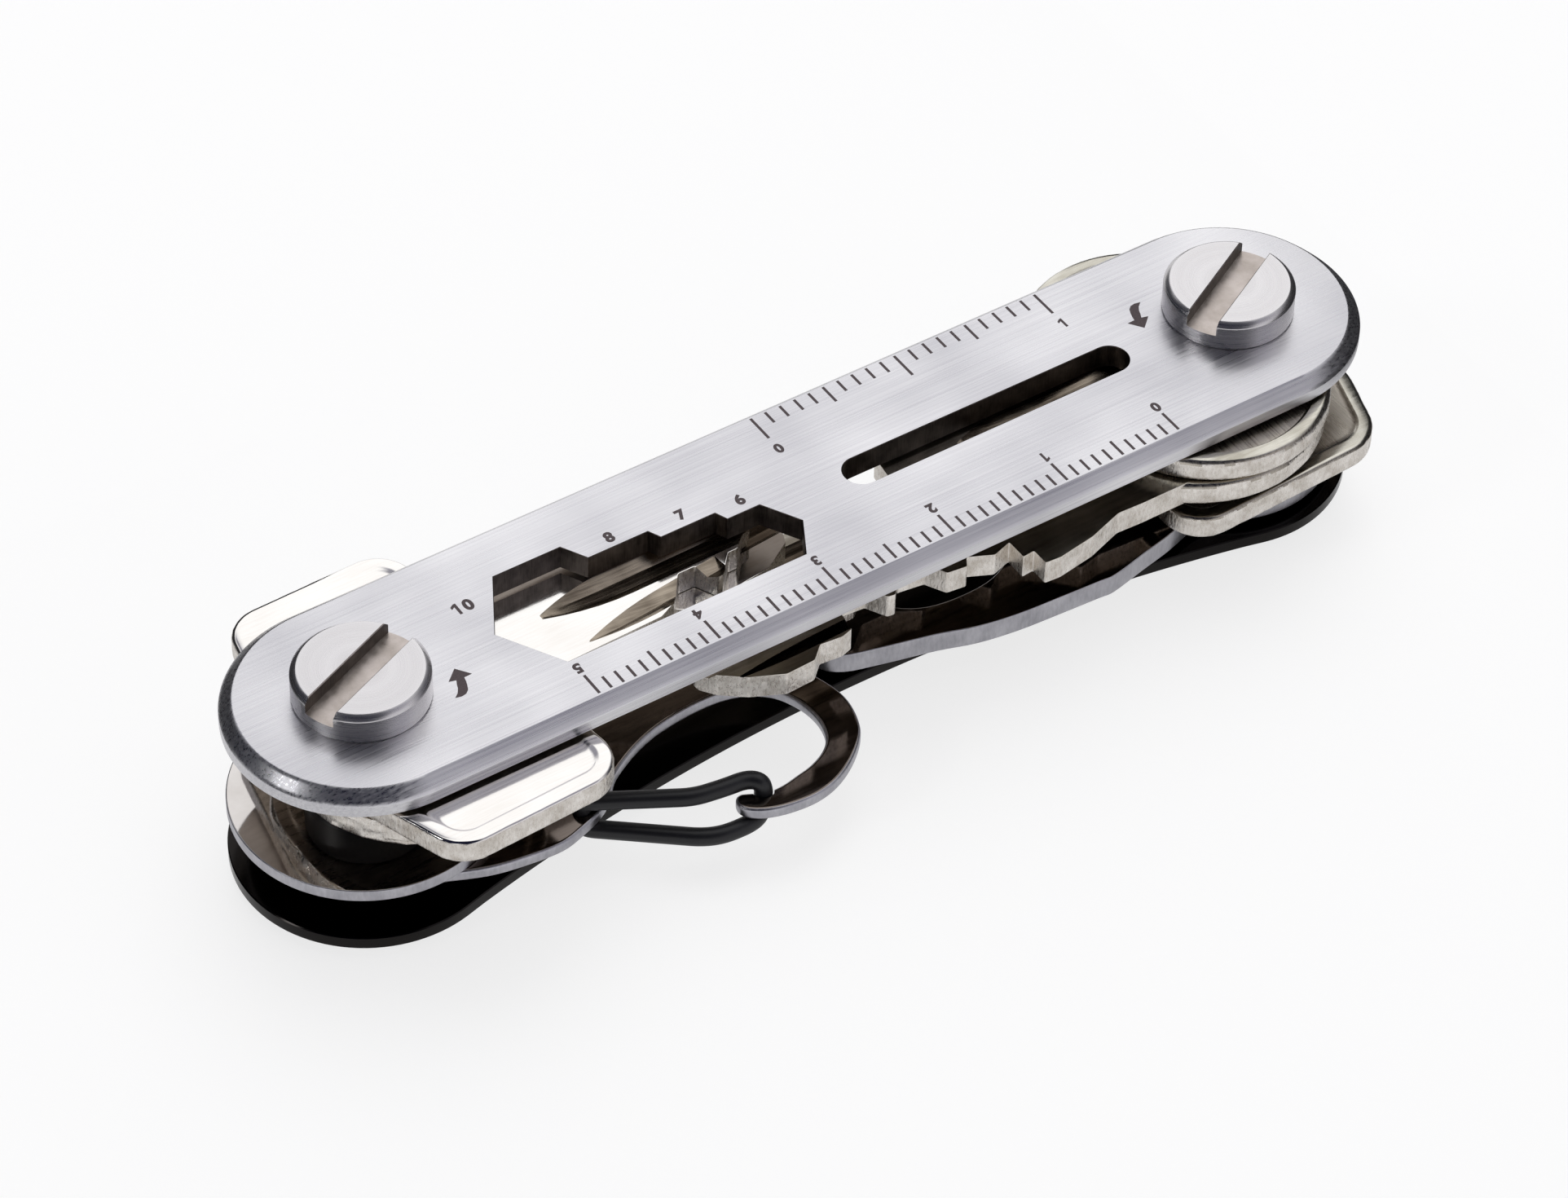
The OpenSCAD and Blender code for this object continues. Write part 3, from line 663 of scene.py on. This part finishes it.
def key_blank(name, corners, blade, grooves, low, high, axis_x, rough, sink, soft, worn):
    """A key: a coined bow with rims on both faces, joined to a cut and grooved blade. Rough is
    how torn its edge is, sink is its panel's depth and soft the rounding of its edge; a worn key
    has a brushed panel and smooth rims, and the others are polished."""
    rim = 1.3
    crest = [(soft * (1 - math.sin(a)), soft * (1 - math.cos(a)))
             for a in (math.radians(90 * k / 5) for k in range(6))]
    lower = [(rim + 0.4, sink), (rim + 0.12, sink), (rim, sink * 0.6), (rim - 0.14, 0.01),
             (rim - 0.3, 0.0)] + crest
    side = [low + soft + (high - low - 2 * soft) * k / 5 for k in range(1, 5)]
    steps = ([(d, low + h) for d, h in lower] + [(0, z) for z in side]
             + [(d, high - h) for d, h in reversed(lower)])
    rings = []
    for d, z in steps:
        ring = bow_outline(corners, d)
        outward = [Vector((x - corners[0][0], y - corners[0][1])).normalized() for x, y in ring]
        grit = rough * max(0.0, 1 - d / 0.3)
        rings.append([
            (x + o.x * grit * (noise.noise(Vector((x, y, z)) * 2.6) - 0.6),
             y + o.y * grit * (noise.noise(Vector((x, y, z)) * 2.6) - 0.6), z)
            for (x, y), o in zip(ring, outward)])
    bow = loft(name, rings)
    shank = slab(name + "_blade", rounded(blade, 0.15), round_edges(low, high, 0.06, 2))
    drill = slab("drill", circle(post_bore, 48), [(0, low - 1), (0, high + 1)], (axis_x, 0, 0))
    cutters = [groove_cutter(tip, end, width, depth, high if up > 0 else low, up, sharp)
               for tip, end, width, depth, up, sharp in grooves]
    for part in [bow, shank, drill] + cutters:
        for material in key_materials:
            part.data.materials.append(material)
    combine(bow, [shank], "UNION")
    for face in bow.data.polygons:
        # Upright faces take the coined edge, and downward faces the nickel painted darker as shade.
        upright = abs(face.normal.z) < 0.55
        face.material_index = 1 if upright else 3 if face.normal.z < 0 else 0
        if worn and face.normal.z > 0.4:
            face.material_index = 4 if face.center.z < (high - sink / 2) * MM else 5
    combine(bow, [drill] + cutters)
    return bow


# The keys, from the left post's upper one: bow circles, blade outline, and the grooves as tip,
# end, width, depth, upper (1) or lower (-1) face, and how broad their floor is; then how torn
# the edge is, the panel's depth and the edge's rounding.
keys = {
    "left_upper": (
        [(-36.3, -11.5, 3.1), (-27.4, -11.2, 3), (-30.1, 10.6, 3.1), (-38.6, 10.5, 3),
         (-37.5, 0, 6)],
        [(-30, -3.4), (-14.6, -2.9), (-13.1, -2.2), (-11.3, 0.1), (-9.9, 0.1), (-9.0, -1.7),
         (-8.6, -1.7), (-7.1, 0), (-6.3, 0), (-4.9, 1.5), (-4.1, 1.7), (-3.5, 3.2), (-5, 6),
         (-30, 5)],
        [((-22, 1.6), (4, 2.0), 3.0, 0.62, 1, 0.35), ((-20.4, -2.3), (-8, -0.7), 1.9, 0.5, 1, 0.1),
         ((-20, 3.6), (4, 4.2), 1.6, 0.5, -1, 0.3)],
        0.06, 0.08, 0.42),
    "left_lower": (
        [(-34.2, -1.4, 9.2), (-34.2, 1.4, 9.2)],
        [(-30, -3.4), (-21, -2.9), (-19.4, -1.2), (-18, -1.2), (-16.2, -2.4), (-14.6, -2.3),
         (-12.8, -0.6), (-11.2, -1.9), (-9.6, -1.8), (-4.2, -1.1), (-1.8, 0.4), (-0.9, 2.6),
         (-1.6, 5.4), (-4.4, 7.3), (-30, 4.9)],
        [((-23, 0.6), (4, 3.0), 2.0, 0.55, 1, 0.3), ((-23, 3.2), (4, 5.8), 1.4, 0.5, 1, 0.2),
         ((-22, 1.4), (4, 3.8), 2.0, 0.55, -1, 0.3)],
        0.26, 0.12, 0.4),
    "right_upper": (
        [(33.1, -3.3, 9.5), (32.2, 3.6, 8.9)],
        [(30, 4.4), (9.4, 4.2), (7.4, 2.6), (7, -0.6), (8.6, -1.2), (9.8, -3.2), (11.4, -3.2),
         (12.6, -1.8), (13.8, -3), (15, -4.4), (30, -4.4)],
        [((13.2, 0.3), (30, 0.3), 3.4, 0.6, 1, 0.4), ((10, 3.2), (30, 3.0), 1.1, 0.5, 1, 0.2),
         ((9, 0.4), (30, 0.4), 1.8, 0.5, -1, 0.3)],
        0.08, 0.26, 0.62),
    "right_lower": (
        [(32.6, -2.2, 10.4), (33.2, 1.2, 10.2)],
        [(30, -10.2), (22.5, -10.2), (20.4, -10.1), (17.4, -11.1), (14.2, -11.6), (12.9, -11.5),
         (12.9, -10), (11.9, -10.1), (11.9, -8.3), (10.3, -8.8), (8.4, -7.9), (7.9, -8.7),
         (6.3, -8.5), (5.4, -6.9), (3.2, -6.6), (1.9, -8.3), (1.3, -8.2), (0.4, -6.6),
         (-2.3, -6.4), (-2.7, -9.5), (-3.7, -9.8), (-5.5, -9.6), (-6.7, -10.7), (-9.1, -10.8),
         (-11.6, -9.6), (-13.4, -8.2), (-14.4, -6.8), (-14.4, -4.6), (-12.6, -2.9), (14, -0.8),
         (30, 4)],
        [((11, -4.9), (-18, -7.9), 1.5, 0.55, 1, 0.35), ((12, -2.6), (-18, -5.0), 1.5, 0.55, 1, 0.3),
         ((-12.4, -9.3), (-2.2, -8.9), 1.0, 0.4, 1, 0.4),
         ((11, -4), (-18, -6.5), 2.0, 0.55, -1, 0.3)],
        0.10, 0.22, 0.55),
    "right_third": (
        [(29.5, -8.3, 3.2), (41.8, -7.2, 3.8), (43.4, -3.6, 3.4), (42.4, 7.2, 3.8),
         (29.6, 7.5, 3.6)],
        [(32, -6.2), (22.5, -5.6), (20.6, -6), (19, -4.3), (17.2, -3), (15.2, -3), (13.6, -4.2),
         (11.8, -1.8), (9.6, -1.8), (8, -3.4), (6, -2.2), (3.4, -2.2), (1.4, -4), (-1.2, -4),
         (-3.6, -2.2), (-4.4, 0.4), (-3, 3.4), (0, 4.4), (22.5, 5.4), (32, 6.2)],
        [((20, 2.6), (-8, 2.2), 1.8, 0.5, 1, 0.3), ((20, 0.2), (-8, -0.2), 1.4, 0.5, 1, 0.2),
         ((20, 1.4), (-8, 1), 2.0, 0.5, -1, 0.3)],
        0.06, 0.14, 0.4)}
for which, (corners, blade, grooves, rough, sink, soft) in keys.items():
    low, high = (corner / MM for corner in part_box("key_" + which))
    axis_x = -screw_x if which.startswith("left") else screw_x
    key = key_blank("door_key_" + which, corners, blade, grooves, low.z, high.z, axis_x, rough,
                    sink, soft, worn=which.startswith("right"))
    dress(key, which + "_key", key_materials, ["key_" + which])


# --- Polished disc ----------------------------------------------------------------------------
# A stamped steel washer, 20 mm across and mirror-polished, between the left keys and carabiner.

# Mirror-polished steel: almost no grain, so it repeats whatever lies over it.
mirror_steel = metal("mirror_polished_steel", "#dcd8d5", "#cfcac6", (0.035, 0.07),
                     (2.0, 2.0, 2.0), 0.0003, mottle=6.0)
# Sheared steel edge: satin, pale, with short upright marks.
satin_edge = metal("satin_steel_edge", "#cbcad0", "#aaa9b0", (0.28, 0.40),
                   (0.25, 0.25, 0.8), 0.004, mottle=2.0)
# Mirror steel painted dark as shade: the darker base stands in for the shade between the plates, and
# shows soft, brownish reflections.
mirror_shade_paint = metal("mirror_steel_painted_shade", "#857b74", "#665d57", (0.06, 0.13),
                    (7.0, 0.5, 0.5), 0.0012, mottle=5.0)


def faces_and_edges(piece, limit=0.8):
    """Puts level faces in the first material slot and everything steeper in the second."""
    for face in piece.data.polygons:
        face.material_index = 0 if abs(face.normal.z) > limit else 1


low, high = (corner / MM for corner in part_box("disc_left"))
disc_radius = (high.y - low.y) / 2
disc = slab("polished_disc", circle(disc_radius, 144), round_edges(low.z, high.z, 0.12),
            (-screw_x, 0, 0))
combine(disc, [slab("drill", circle(post_bore, 48), [(0, low.z - 1), (0, high.z + 1)],
                    (-screw_x, 0, 0))])
faces_and_edges(disc)
dress(disc, "left_disc", [mirror_steel, satin_edge], ["disc_left"])


# --- Carabiner --------------------------------------------------------------------------------
# A flat hook stamped from 1 mm steel and tumbled, so that its faces shine like a mirror and its
# edges are soft. Its round head sits on the left post and its nose has a notch for the gate.

def smooth_line(points, turns=5):
    """A closed curve that runs smoothly through the points."""
    made = []
    count = len(points)
    for i in range(count):
        a, b, c, d = (Vector(points[(i + k) % count]) for k in (-1, 0, 1, 2))
        for k in range(turns):
            t = k / turns
            made.append(tuple(0.5 * (2 * b + (c - a) * t + (2 * a - 5 * b + 4 * c - d) * t * t
                                     + (3 * b - a - 3 * c + d) * t ** 3)))
    return made


low, high = (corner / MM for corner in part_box("carabiner"))
carabiner_head = 8.8
head = [(x - screw_x, y) for x, y in circle(carabiner_head, 23, 51, 219)]
carabiner_side = [
    (-33.7, -10.3), (-30.7, -10.9), (-28, -11.1), (-26, -10.6), (-24.4, -10.0), (-23.0, -9.1),
    (-21.5, -7.5), (-19.9, -6.5), (-18.3, -5.75), (-16.6, -5.2), (-14.6, -4.85), (-12.4, -4.7),
    (-10.4, -4.85), (-8.7, -5.45), (-7.3, -6.6), (-6.5, -8.2), (-6.2, -9.8), (-6.3, -11.2),
    (-6.8, -12.5), (-7.8, -13.45), (-9.2, -14.1), (-10.6, -14.4), (-12, -14.65), (-13.3, -14.6),
    (-14.4, -14.05), (-15, -13.8), (-15.45, -13.95), (-15.7, -14.45), (-15.65, -15),
    (-15.2, -15.6), (-14.1, -16.25), (-12.5, -16.7), (-10.4, -16.85), (-8.4, -16.4),
    (-6.4, -15.3), (-4.7, -13.8), (-3.8, -12.3), (-3.3, -10.2),
    (-3.5, -8.2), (-4.4, -5.8), (-6, -3.9), (-8.4, -2.5), (-11.5, -1.7), (-15.5, -1.3),
    (-20, -0.6), (-24.5, 1.2), (-28.5, 4)]
gate_pivot, gate_bend = (-25.3, -9.1), (-13.45, -14.45)
gate_hole, nose_notch = 0.73, 0.8
carabiner = slab("hook_carabiner", smooth_line(head + carabiner_side),
                 round_edges(low.z, high.z, 0.3, 4))
combine(carabiner, [
    slab("drill", circle(radius, 40), [(0, low.z - 1), (0, high.z + 1)], (x, y, 0))
    for x, y, radius in [(-screw_x, 0, post_bore), (*gate_pivot, gate_hole),
                         (*gate_bend, nose_notch)]])
# The faces take the mirror steel painted dark as shade, the edges satin steel.
faces_and_edges(carabiner, 0.9)
dress(carabiner, "carabiner", [mirror_shade_paint, satin_edge], ["carabiner"])


# --- Wire gate --------------------------------------------------------------------------------
# One length of spring wire, 1.4 mm thick, bent round the nose and hinged in a hole through the
# carabiner. It is coated matt black.

# Black electrophoretic coat: matt, with the faintest orange peel.
black_coat = coating("matt_black_coated_wire", "#101014", "#18181d", 0.3, 2.0, 0.42, relief=0.006)

wire_radius, leg_offset = 0.68, 1.35
wire_mid = (low.z + high.z) / 2
gate_corners = [
    (*gate_pivot, wire_mid + 0.05), (*gate_pivot, wire_mid + leg_offset),
    (-18.4, -13, wire_mid + leg_offset), (-16, -13.4, wire_mid + leg_offset),
    (-14.2, -13.55, wire_mid + leg_offset), (*gate_bend, wire_mid + leg_offset),
    (*gate_bend, wire_mid - leg_offset), (-14.7, -15.2, wire_mid - leg_offset),
    (-17.1, -15.1, wire_mid - leg_offset), (-18.6, -14.5, wire_mid - leg_offset),
    (*gate_pivot, wire_mid - leg_offset),
    (*gate_pivot, wire_mid - 0.05)]
bend_reach = 1.0
wire_line = [Vector(gate_corners[0])]
for before, at, after in zip(gate_corners, gate_corners[1:], gate_corners[2:]):
    before, at, after = Vector(before), Vector(at), Vector(after)
    start = at + (before - at).normalized() * min(bend_reach, (before - at).length / 2)
    end = at + (after - at).normalized() * min(bend_reach, (after - at).length / 2)
    wire_line += [start * (1 - t) ** 2 + at * 2 * t * (1 - t) + end * t * t
                  for t in (k / 8 for k in range(9))]
wire_line.append(Vector(gate_corners[-1]))
wire = bpy.data.curves.new("wire_gate", "CURVE")
wire.dimensions = "3D"
wire.bevel_depth = wire_radius * MM
wire.bevel_resolution = 6
wire.use_fill_caps = True
spline = wire.splines.new("POLY")
spline.points.add(len(wire_line) - 1)
for point, spot in zip(spline.points, wire_line):
    point.co = (*(spot * MM), 1)
gate = bpy.data.objects.new("wire_gate", wire)
bpy.context.scene.collection.objects.link(gate)
spline.use_smooth = True
wire.materials.append(black_coat)
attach(gate, "gate")
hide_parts("gate_wire")


# --- Bottle opener ----------------------------------------------------------------------------
# A hooked blade stamped from 1.9 mm steel on the right post. Its faces are mirror-polished, its
# bulging back is ground satin, and its mouth takes the edge of a cap.

low, high = (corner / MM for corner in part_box("bottle_opener"))
opener_head_radius = 9
opener_head = [(screw_x + x, y) for x, y in circle(opener_head_radius, 27, -128, 260)]
opener_side = [
    (27, 5.8), (22.6, 5.8), (20, 5.2), (18.2, 3.6), (17.3, 1.4), (17, -1), (15.8, -3.2),
    (13.4, -4.6), (10.4, -4.9), (7.6, -4.5), (5.6, -3.3), (4.7, -1.6), (4.6, -0.1), (4, 0.8),
    (2.4, 0.9), (0.4, 0.3), (-1.2, -1), (-1.9, -2.6), (-1.7, -4.2), (-0.4, -5.4), (2.6, -6.3),
    (6.6, -7.3), (9.6, -8.25), (12.9, -8.8), (16.4, -9.05), (19.9, -9.25), (21.3, -9.3),
    (24.4, -8.6), (27.2, -8), (30, -7.2)]
opener = slab("bottle_opener_blade", smooth_line(opener_head + opener_side, 4),
              round_edges(low.z, high.z, 0.14))
combine(opener, [slab("drill", circle(post_bore, 48), [(0, low.z - 1), (0, high.z + 1)],
                      (screw_x, 0, 0))])
# The faces take the mirror steel painted dark as shade, the edges satin steel.
faces_and_edges(opener)
dress(opener, "opener", [mirror_shade_paint, satin_edge], ["bottle_opener"])


# --- Bottom plate -----------------------------------------------------------------------------
# A strip of the same outline at its ends, drawn in to a waist between them, polished and black
# nickel plated. Its lower edge is bevelled, and both posts are riveted into it.

# Black nickel over polished steel: a dark mirror with hardly any grain.
black_nickel = metal("black_nickel_plate", "#2a2827", "#232120", (0.14, 0.18),
                     (3.0, 0.08, 0.08), 0.0001, mottle=9.0)
low, high = (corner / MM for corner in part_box("bottom_plate"))
waist_radius, waist_bite = 152.0, 0.03
waist_reach = waist_radius + end_radius - waist_bite
waist_centre = math.sqrt(waist_reach ** 2 - screw_x ** 2)
lean = math.degrees(math.asin(screw_x / waist_reach))
waist_arc = [(x, y + waist_centre) for x, y in circle(waist_radius, 41, -90 - lean, 2 * lean)]
end_sweep = 180 + 2 * lean
end_arc = [(x + screw_x, y) for x, y in circle(end_radius, 61, -end_sweep / 2, end_sweep)]
bottom_outline = (end_arc + waist_arc[-2:0:-1] + [(-x, -y) for x, y in end_arc]
                  + [(-x, -y) for x, y in waist_arc[-2:0:-1]])
bottom_plate = slab("bottom_plate_black_nickel", bottom_outline, [
    (plate_bevel + 0.05, low.z), (plate_bevel - 0.05, low.z + 0.03),
    (0.03, low.z + plate_bevel - 0.04), (0, low.z + plate_bevel + 0.04), (0, high.z - 0.08),
    (0.08, high.z)])
post_radius = 2.5
combine(bottom_plate, [
    slab("drill", circle(post_radius, 48), [(0, low.z - 1), (0, high.z + 1)], (x, 0, 0))
    for x in (-screw_x, screw_x)])
dress(bottom_plate, "frame", [black_nickel], ["bottom_plate"])


# --- Posts, washers and spacers ---------------------------------------------------------------
# Steel posts that the screws run into, and near-black washers that keep the moving pieces
# apart and set how stiffly they turn. All lie between the plates, so they keep the CAD shape.

# Near-black washer surface, with a soft sheen and fine texture.
washer_black = coating("near_black_washer_coat", "#0e0e0f", "#1b1b1d", 0.15, 3.0, 0.38, relief=0.004)

for name, cad_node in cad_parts.items():
    if name.startswith("post_"):
        cad_node.data.materials.clear()
        cad_node.data.materials.append(satin_edge)
    elif name.startswith("spacer_") or name == "shim_washers":
        cad_node.data.materials.clear()
        cad_node.data.materials.append(washer_black)
